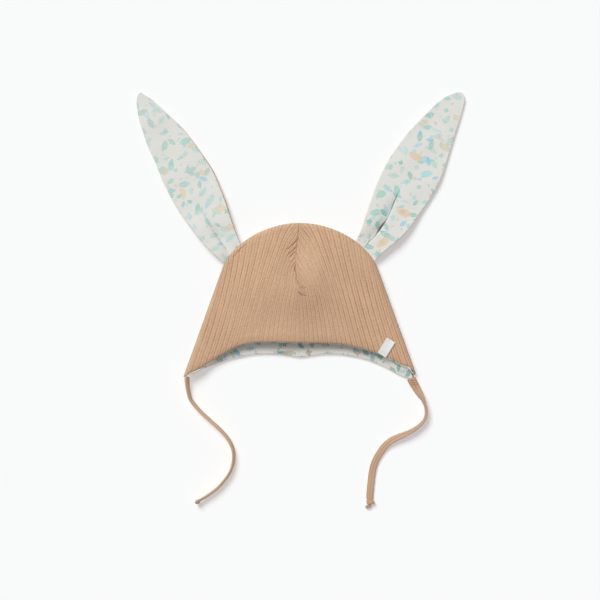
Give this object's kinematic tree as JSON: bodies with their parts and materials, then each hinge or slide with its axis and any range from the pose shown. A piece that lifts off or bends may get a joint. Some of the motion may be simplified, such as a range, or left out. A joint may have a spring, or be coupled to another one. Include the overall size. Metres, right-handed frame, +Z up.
{
  "type": "baby hat with ears",
  "caption": "Baby's pilot hat in ribbed knit with a printed jersey lining, rabbit ears on the crown seam, pointed ear flaps and narrow ties, lying flat on its back.",
  "frame": {"origin": "on the surface that the hat lies on, under the middle of its back panel", "axes": "+X towards the ear flap with the label, +Y towards the crown and the ears, +Z up, away from the surface"},
  "size_m": [0.3116, 0.394, 0.02],
  "materials": {
    "rib_knit": "matte ribbed cotton knit, warm tan",
    "printed_jersey": "matte cream jersey with a small print of sprigs, leaves and dots in mint, sky blue and peach",
    "woven_label": "smooth white woven tape, blank",
    "tie_rib": "matte ribbed cotton strap, warm tan"
  },
  "bodies": {
    "root": {"front_panel": "rib_knit", "back_panel": "rib_knit", "front_lining": "printed_jersey", "back_lining": "printed_jersey", "left_ear_face": "printed_jersey", "left_ear_back": "rib_knit", "right_ear_face": "printed_jersey", "right_ear_back": "rib_knit", "label": "woven_label", "left_tie": "tie_rib", "left_tie_tip": "tie_rib", "right_tie": "tie_rib", "right_tie_tip": "tie_rib"}
  },
  "joints": []
}
